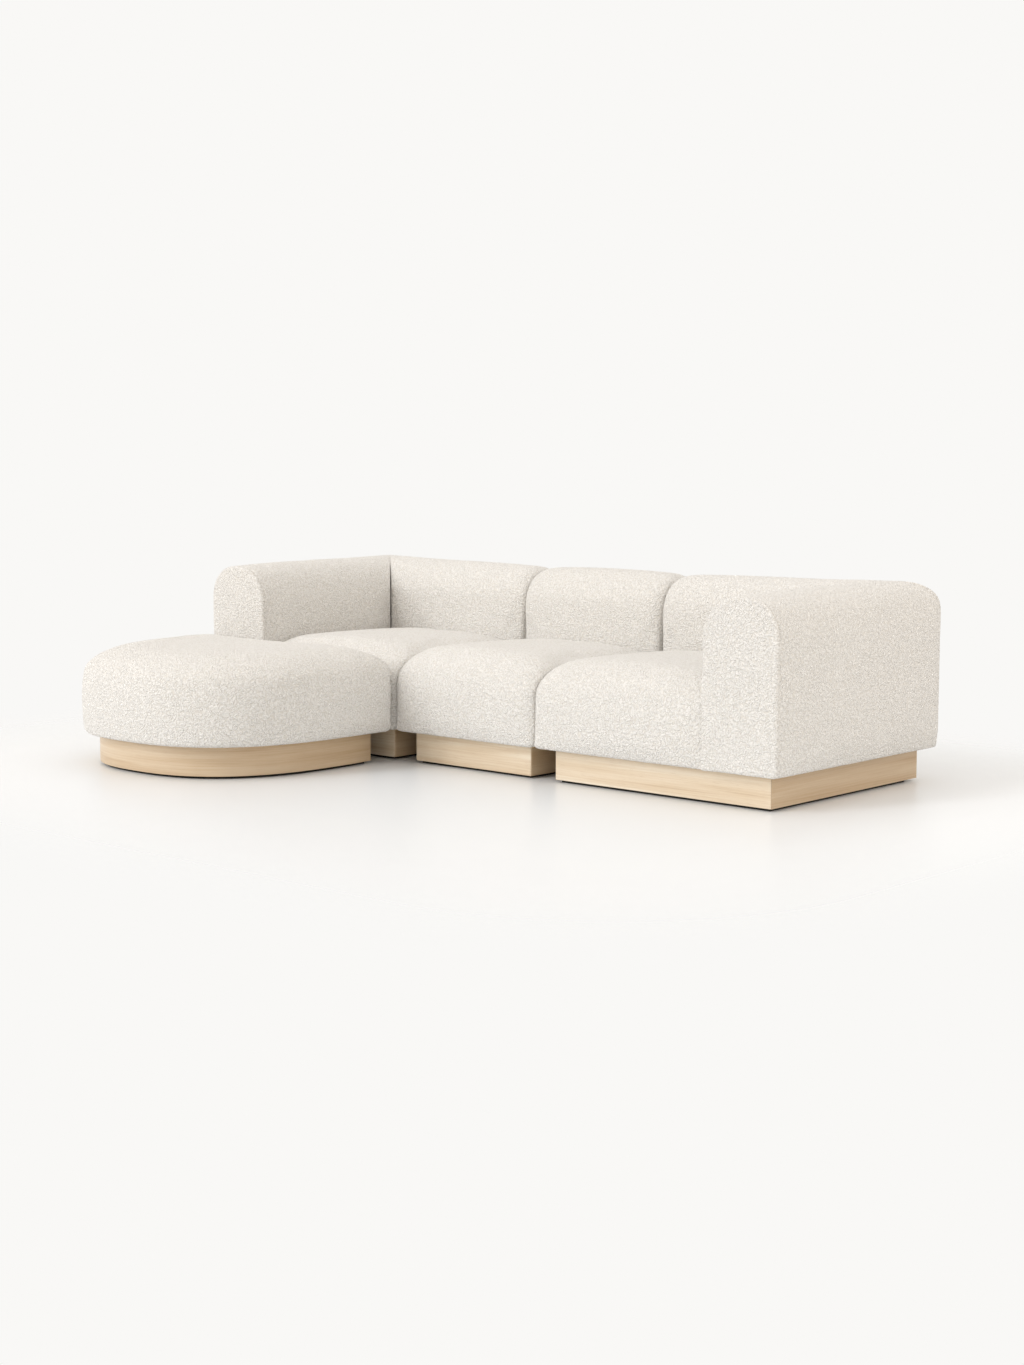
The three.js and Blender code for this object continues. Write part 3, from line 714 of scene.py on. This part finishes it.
def stitch_tree(material):
    """Lays one stitch after another along a seam line."""
    tree = bpy.data.node_groups.new("seam_stitches", "GeometryNodeTree")
    tree.interface.new_socket("Seam", in_out="INPUT", socket_type="NodeSocketGeometry")
    sizes = {"Spacing": STITCH_SPACING, "Stitch length": STITCH_LENGTH, "Thread radius": THREAD_RADIUS}
    for name, value in sizes.items():
        socket = tree.interface.new_socket(name, in_out="INPUT", socket_type="NodeSocketFloat")
        socket.default_value = value
    tree.interface.new_socket("Stitches", in_out="OUTPUT", socket_type="NodeSocketGeometry")
    given = add(tree, "NodeGroupInput").outputs
    line = add(tree, "GeometryNodeMeshToCurve", {"Mesh": given["Seam"]})
    spaced = add(tree, "GeometryNodeResampleCurve",
                 {"Curve": line.outputs[0], "Length": given["Spacing"]}, mode="LENGTH")
    tangent = add(tree, "GeometryNodeInputTangent").outputs[0]
    turned = add(tree, "FunctionNodeAlignRotationToVector", {"Vector": tangent}, axis="Z")
    bead = add(tree, "GeometryNodeMeshUVSphere", {"Segments": 8, "Rings": 6, "Radius": 1.0})
    half = add(tree, "ShaderNodeMath", {0: given["Stitch length"], 1: 0.5},
               operation="MULTIPLY").outputs[0]
    radius = given["Thread radius"]
    size = add(tree, "ShaderNodeCombineXYZ", {0: radius, 1: radius, 2: half}).outputs[0]
    laid = add(tree, "GeometryNodeInstanceOnPoints",
               {"Points": spaced.outputs[0], "Instance": bead.outputs[0],
                "Rotation": turned.outputs[0], "Scale": size})
    real = add(tree, "GeometryNodeRealizeInstances", {"Geometry": laid.outputs[0]})
    threaded = add(tree, "GeometryNodeSetMaterial", {"Geometry": real.outputs[0], "Material": material})
    add(tree, "NodeGroupOutput", {0: threaded.outputs[0]})
    return tree


def add_stitches(name, body, line, tree, material):
    mesh = bpy.data.meshes.new(name)
    mesh.from_pydata([tuple(p) for p in line], [(k, k + 1) for k in range(len(line) - 1)], [])
    piece = bpy.data.objects.new(name, mesh)
    bpy.context.scene.collection.objects.link(piece)
    sewing = piece.modifiers.new("sewing", "NODES")
    sewing.node_group = tree
    spacing = tree.interface.items_tree["Spacing"].identifier
    sewing[spacing] = STITCH_SPACING
    apply_modifiers(piece)
    for polygon in piece.data.polygons:
        polygon.use_smooth = True
    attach(piece, body)


def add_seat_modules(material):
    thread = thread_material()
    stitches = stitch_tree(thread)
    for name in ("left", "middle", "right"):
        module = Module(name)
        if module.has_arm:
            add_arm(module, material, stitches, thread)
        add_seat(module, material)
        add_back(module, material)


# ---------------------------------------------------------------- ottoman

OTTOMAN_ROUNDNESS = 2.55
OTTOMAN_FRONT_SHARE = 0.717   # of the depth, from the front to the widest line
OTTOMAN_BACK_REACH = 1.2      # the sides behind that line stay nearly straight
OTTOMAN_CORNER = 15 * MM
OTTOMAN_CROWN = 327.5 * MM    # height of the cushion in the middle
OTTOMAN_SEAM = 250 * MM       # height of the seam between its side and its top
OTTOMAN_TOP_RINGS = (0.88, 0.76, 0.64, 0.52, 0.40, 0.28, 0.16, 0.06)
PLINTH_CORNER = 3 * MM

# The cushion's side from hem to top: how far in and how high up, in millimetres
OTTOMAN_SIDE = [
    (60, 0), (30, 0), (14, 1), (6, 6), (2.5, 16), (1, 34), (1, 70), (0, 110), (0, 150), (1.5, 190),
    (5, 222), (7.5, 236), (9.5, 243), (14, 250), (14.5, 257), (18, 264), (28, 278), (50, 297),
    (82, 311), (125, 319),
]


def ottoman_outline(low, high, inset, corner_radius, back_reach, steps=96):
    """A superellipse cut off by a straight back, as points round it from the right back corner."""
    centre_x = (low[0] + high[0]) / 2
    half_width = (high[0] - low[0]) / 2 - inset
    depth = high[1] - low[1]
    reach = depth * OTTOMAN_FRONT_SHARE - inset
    centre_y = low[1] + depth * OTTOMAN_FRONT_SHARE
    power = 2 / OTTOMAN_ROUNDNESS
    start_y = high[1] - inset - corner_radius
    start = math.asin(max(0.02, (start_y - centre_y) / back_reach) ** (1 / power))
    angles = np.linspace(start, -math.pi - start, steps)
    cos, sin = np.cos(angles), np.sin(angles)
    curve = np.column_stack([
        centre_x + half_width * np.sign(cos) * np.abs(cos) ** power,
        centre_y + np.where(sin > 0, back_reach, reach) * np.sign(sin) * np.abs(sin) ** power,
    ])
    turn = np.linspace(0, math.pi / 2, 6)[1:]
    left = curve[-1] + corner_radius * np.column_stack([1 - np.cos(turn), np.sin(turn)])
    right = curve[0] + corner_radius * np.column_stack([np.cos(turn) - 1, np.sin(turn)])
    straight = np.linspace(left[-1], right[-1], 40)[1:-1]
    return np.vstack([curve, left, straight, right[::-1]])


def add_ottoman(material):
    low, high = (np.array(corner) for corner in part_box("ottoman_seat_cushion"))
    bottom = low[2]
    centre = np.array([(low[0] + high[0]) / 2, high[1] - 0.4 * (high[1] - low[1])])
    rings = []
    for inset, rise in OTTOMAN_SIDE:
        outline = ottoman_outline(low, high, inset * MM, OTTOMAN_CORNER, OTTOMAN_BACK_REACH)
        near_back = smooth_step(outline[:, 1], high[1] - 330 * MM, high[1] - 60 * MM)
        fuller = smooth_step(rise, 150, 250) * max(0.0, 1 - inset / 130) * near_back * inset * MM
        outline[:, 0] += np.where(outline[:, 0] > centre[0], 0.5, -0.15) * fuller
        outline[:, 1] += fuller * 0.3 * smooth_step(outline[:, 1], high[1] - 120 * MM, high[1])
        rings.append(np.column_stack([outline, np.full(len(outline), bottom + rise * MM)]))
    rim = rings[-1][:, :2]
    dome = OTTOMAN_CROWN - (rings[-1][0, 2] - bottom)
    for size in OTTOMAN_TOP_RINGS:
        height = bottom + OTTOMAN_CROWN - dome * size ** 2
        rings.append(np.column_stack([centre + (rim - centre) * size, np.full(len(rim), height)]))
    floor = np.array([*centre, bottom])
    crown = np.array([*centre, bottom + OTTOMAN_CROWN])
    points = np.vstack(rings + [floor, crown])
    piece = mesh_object("ottoman_seat", points, ring_faces(len(rings), len(rings[0])), material)

    def pinned(points):
        seam = np.clip(1 - np.abs(points[:, 2] - bottom - OTTOMAN_SEAM) / (20 * MM), 0, 1)
        return np.maximum(near_hem(bottom)(points), seam)

    finish_cushion(piece, "ottoman", "ottoman_seat_cushion", pinned)


# ---------------------------------------------------------------- oak plinths

def add_plinth_board(name, body, nodes, outer, inner, bottom, top, painted_shades, material):
    """A board from its outer and inner lines seen from above. UVs run along it in metres. Painted
    shade runs along it from the first to the second of painted_shades, 0 pale to 1 deep."""
    outer, inner = np.asarray(outer), np.asarray(inner)
    count = len(outer)
    lengths = np.concatenate([[0], np.cumsum(np.linalg.norm(np.diff(outer, axis=0), axis=1))])
    points = []
    for line, height in ((outer, bottom), (outer, top), (inner, top), (inner, bottom)):
        points += [(x, y, height) for x, y in line]
    faces = []
    for k in range(4):
        start, following = k * count, ((k + 1) % 4) * count
        faces += [(start + i, start + i + 1, following + i + 1, following + i)
                  for i in range(count - 1)]
    faces += [(0, count, 2 * count, 3 * count), tuple(k * count + count - 1 for k in (3, 2, 1, 0))]
    piece = mesh_object(name, points, faces, material)
    height = top - bottom
    thickness = float(np.linalg.norm(outer[0] - inner[0]))
    across = [0, height, height + thickness, 2 * height + thickness]
    offset = sum(ord(letter) for letter in name) * 0.37
    uv = piece.data.uv_layers.new(name="grain")
    for polygon in piece.data.polygons:
        wraps = {v // count for v in polygon.vertices} == {0, 3}
        for corner, vertex in zip(polygon.loop_indices, polygon.vertices):
            row = vertex // count
            v = across[3] + height if wraps and row == 0 else across[row]
            uv.data[corner].uv = (lengths[vertex % count] + offset, v + offset)
    # painted shade along the board, read by the oak's colour
    share = np.tile(lengths / lengths[-1], 4)
    shade_amount = piece.data.attributes.new("painted_shade", "FLOAT", "POINT")
    shade_amount.data.foreach_set("value", painted_shades[0] + (painted_shades[1] - painted_shades[0]) * share)
    face_outwards(piece)
    bevel = piece.modifiers.new("eased_edges", "BEVEL")
    bevel.width = EDGE_BEVEL
    bevel.segments = 3
    bevel.limit_method = "ANGLE"
    bevel.angle_limit = math.radians(40)
    apply_modifiers(piece)
    for polygon in piece.data.polygons:
        polygon.use_smooth = True
    weighted = piece.modifiers.new("flat_faces", "WEIGHTED_NORMAL")
    weighted.keep_sharp = True
    apply_modifiers(piece)
    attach(piece, body)
    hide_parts(*nodes)


def add_module_plinth(name, material):
    body = f"{name}_module"
    low, high = (np.array(corner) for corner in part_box(f"{name}_plinth_front"))
    _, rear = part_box(f"{name}_plinth_back")
    thickness = high[1] - low[1]
    x0, x1, y0, y1 = low[0] - BOARD_PROUD, high[0] + BOARD_PROUD, low[1], rear[1]
    corners = {"front": ((x0, y0), (x1, y0)), "right": ((x1, y0), (x1, y1)),
               "back": ((x1, y1), (x0, y1)), "left": ((x0, y1), (x0, y0))}
    for side, (start, end) in corners.items():
        start, end = np.array(start), np.array(end)
        along = (end - start) / np.linalg.norm(end - start)
        inward = np.array([-along[1], along[0]])
        length = np.linalg.norm(end - start)
        outer, inner = [], []
        arc = np.linspace(math.radians(45), 0, 5)
        stations = [(CORNER_ROUNDING * (1 - math.sin(t)), CORNER_ROUNDING * (1 - math.cos(t)))
                    for t in arc]
        stations += [(length - s, d) for s, d in stations[::-1]]
        for distance, depth in stations:
            outer.append(start + along * distance + inward * depth)
            slid = np.clip(distance, thickness, length - thickness)
            inner.append(start + along * slid + inward * thickness)
        inner = spread(inner)
        outer_line = shrink_ends(outer, along, MITRE_GAP)
        add_plinth_board(f"{name}_plinth_{side}_board", body, [f"{name}_plinth_{side}"], outer_line,
                         inner, low[2], high[2], BOARD_PAINTED_SHADE[side], material)


def spread(line):
    """Moves points that lie on top of each other a hair apart, in order."""
    line = np.array(line)
    first, last = line[0], line[-1]
    count = len(line)
    return [first + (last - first) * k / (count - 1) for k in range(count)]


def shrink_ends(line, along, gap):
    line = [np.array(p) for p in line]
    half = len(line) // 2
    return [p + along * gap if k < half else p - along * gap for k, p in enumerate(line)]


def add_ottoman_plinth(material):
    boards = [f"ottoman_plinth_{side}" for side in ("left", "front", "right")]
    low = np.min([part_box(node)[0] for node in boards], axis=0)
    high = np.max([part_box(node)[1] for node in boards], axis=0)
    back_low, back_high = (np.array(corner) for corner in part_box("ottoman_plinth_back"))
    seat_low, seat_high = (np.array(corner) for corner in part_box("ottoman_seat_cushion"))
    inset = low[0] - seat_low[0]
    thickness = back_high[1] - back_low[1]
    steps = 97
    plinth_reach = (seat_high[1] - seat_low[1]) * OTTOMAN_FRONT_SHARE - inset
    outer = ottoman_outline(seat_low, seat_high, inset, PLINTH_CORNER, plinth_reach, steps)[:steps]
    inner = ottoman_outline(seat_low, seat_high, inset + thickness, PLINTH_CORNER, plinth_reach, steps)
    inner = inner[:steps]
    outer = np.vstack([[outer[0][0], back_high[1]], outer, [outer[-1][0], back_high[1]]])
    inner = np.vstack([[inner[0][0], back_high[1]], inner, [inner[-1][0], back_high[1]]])
    # painted shade runs from the deep right end of the band, which stands in shade, to its pale left end
    add_plinth_board("ottoman_plinth_band", "ottoman", boards, outer, inner, low[2], high[2],
                     OTTOMAN_BAND_PAINTED_SHADE, material)
    x0, x1 = inner[-1][0] + 0.5 * MM, inner[0][0] - 0.5 * MM
    outer = [(x1, back_high[1]), (x0, back_high[1])]
    inner = [(x1, back_low[1]), (x0, back_low[1])]
    add_plinth_board("ottoman_plinth_back_board", "ottoman", ["ottoman_plinth_back"], outer, inner,
                     low[2], high[2], OTTOMAN_BACK_PAINTED_SHADE, material)


# ---------------------------------------------------------------- hidden pieces

def dress_cad_nodes():
    finishes = {
        "base_board": black_laminate_material(),
        "plinth_rail": sheet_wood_material("pine_planed", "#E2C79A", "#C9A46C", 30.0),
        "deck": sheet_wood_material("birch_plywood", "#DCC7A0", "#C4A97C", 700.0),
        "panel": sheet_wood_material("birch_plywood_panel", "#DCC7A0", "#C4A97C", 30.0),
        "spring_unit": spring_cover_material(),
        "clip": zinc_steel_material(),
    }
    for name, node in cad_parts.items():
        for word, material in finishes.items():
            if word in name:
                node.data.materials.clear()
                node.data.materials.append(material)


# ---------------------------------------------------------------- stage

def add_floor():
    """A pale studio floor that fades into the background far from the sofa."""
    material, tree = new_material("studio_floor")
    place = add(tree, "ShaderNodeTexCoord").outputs["Object"]
    spread = add(tree, "ShaderNodeVectorMath", {0: place}, operation="ABSOLUTE").outputs[0]
    outside = add(tree, "ShaderNodeVectorMath", {0: spread, 1: tuple(CAD_HIGH.xy) + (1.0,)},
                  operation="SUBTRACT")
    outside = add(tree, "ShaderNodeVectorMath", {0: outside.outputs[0], 1: (0, 0, 0)},
                  operation="MAXIMUM")
    distance = add(tree, "ShaderNodeVectorMath", {0: outside.outputs[0]},
                   operation="LENGTH").outputs["Value"]
    fade = add(tree, "ShaderNodeMapRange", {"Value": distance, 1: 0.1, 2: 1.3, 3: 0.0, 4: 1.0},
               interpolation_type="SMOOTHSTEP").outputs[0]
    shader = add(tree, "ShaderNodeBsdfPrincipled",
                 {"Base Color": linear("#E5E8EB"), "Roughness": 0.3, "Specular IOR Level": 0.25})
    clear = add(tree, "ShaderNodeBsdfTransparent")
    mixed = add(tree, "ShaderNodeMixShader", {0: fade, 1: shader.outputs[0], 2: clear.outputs[0]})
    finish_material(tree, mixed.outputs[0])
    reach = 9.0
    corners = [(-reach, -reach, 0), (reach, -reach, 0), (reach, reach, 0), (-reach, reach, 0)]
    floor = mesh_object("studio_floor", corners, [(0, 1, 2, 3)], material)


def add_area_light(name, place, target, size, power, colour):
    light = bpy.data.lights.new(name, "AREA")
    light.shape = "RECTANGLE"
    light.size, light.size_y = size
    light.energy = power
    light.color = colour
    lamp = bpy.data.objects.new(name, light)
    bpy.context.scene.collection.objects.link(lamp)
    lamp.location = place
    lamp.rotation_euler = (Vector(target) - Vector(place)).to_track_quat("-Z", "Y").to_euler()
    lamp.visible_camera = False


def add_sun(name, azimuth, elevation, spread, energy, colour):
    """A soft sun. Azimuth 0 stands in front of the sofa, 90 to its right."""
    light = bpy.data.lights.new(name, "SUN")
    light.angle = math.radians(spread)
    light.energy = energy
    light.color = colour
    lamp = bpy.data.objects.new(name, light)
    bpy.context.scene.collection.objects.link(lamp)
    turn, rise = math.radians(azimuth), math.radians(elevation)
    level = math.cos(rise)
    direction = Vector((math.sin(turn) * level, -math.cos(turn) * level, math.sin(rise)))
    lamp.rotation_euler = direction.to_track_quat("Z", "Y").to_euler()


def add_lights():
    add_sun("key_softbox_low", -23, 18, 9, 0.47, (0.975, 0.99, 1.01))
    add_sun("key_softbox_high", -22, 37, 14, 0.61, (0.975, 0.99, 1.01))
    add_sun("overhead_scrim", 0, 90, 90, 0.46, (0.98, 0.99, 1.0))
    add_area_light("near_softbox", (-3.2, -4.2, 1.8), (-0.4, -0.2, 0.4), (1.4, 1.4), 32,
                   (0.985, 0.99, 0.99))
    add_area_light("side_reflector", (3.2, 0.3, 1.0), (1.4, 0.3, 0.4), (1.6, 1.2), 7.4,
                   (1.0, 0.94, 0.87))
    world = bpy.data.worlds.new("studio")
    bpy.context.scene.world = world
    world.use_nodes = True
    tree = world.node_tree
    tree.nodes.clear()
    fill = add(tree, "ShaderNodeBackground", {"Color": (0.99, 0.935, 0.87, 1.0), "Strength": 0.92})
    seen = add(tree, "ShaderNodeBackground", {"Color": linear("#F9F8F6"), "Strength": 1.0})
    is_camera = add(tree, "ShaderNodeLightPath").outputs["Is Camera Ray"]
    both = add(tree, "ShaderNodeMixShader", {0: is_camera, 1: fill.outputs[0], 2: seen.outputs[0]})
    add(tree, "ShaderNodeOutputWorld", {"Surface": both.outputs[0]})


def add_camera():
    """The product view: from the front right, a little above the backs."""
    camera = bpy.data.cameras.new("product_camera")
    camera.sensor_width = 36
    camera.lens = 56.74
    stand = bpy.data.objects.new("product_camera", camera)
    bpy.context.scene.collection.objects.link(stand)
    stand.location = (5.423, -5.810, 1.234)
    stand.rotation_euler = (math.radians(90 - 6.498), 0, math.radians(41.987))
    bpy.context.scene.camera = stand
    bpy.context.scene.view_settings.view_transform = "Standard"


# ---------------------------------------------------------------- the sofa

add_camera()
boucle = boucle_material()
oak = oak_material()
add_seat_modules(boucle)
add_ottoman(boucle)
for module_name in ("left", "middle", "right"):
    add_module_plinth(module_name, oak)
add_ottoman_plinth(oak)
dress_cad_nodes()
add_floor()
add_lights()
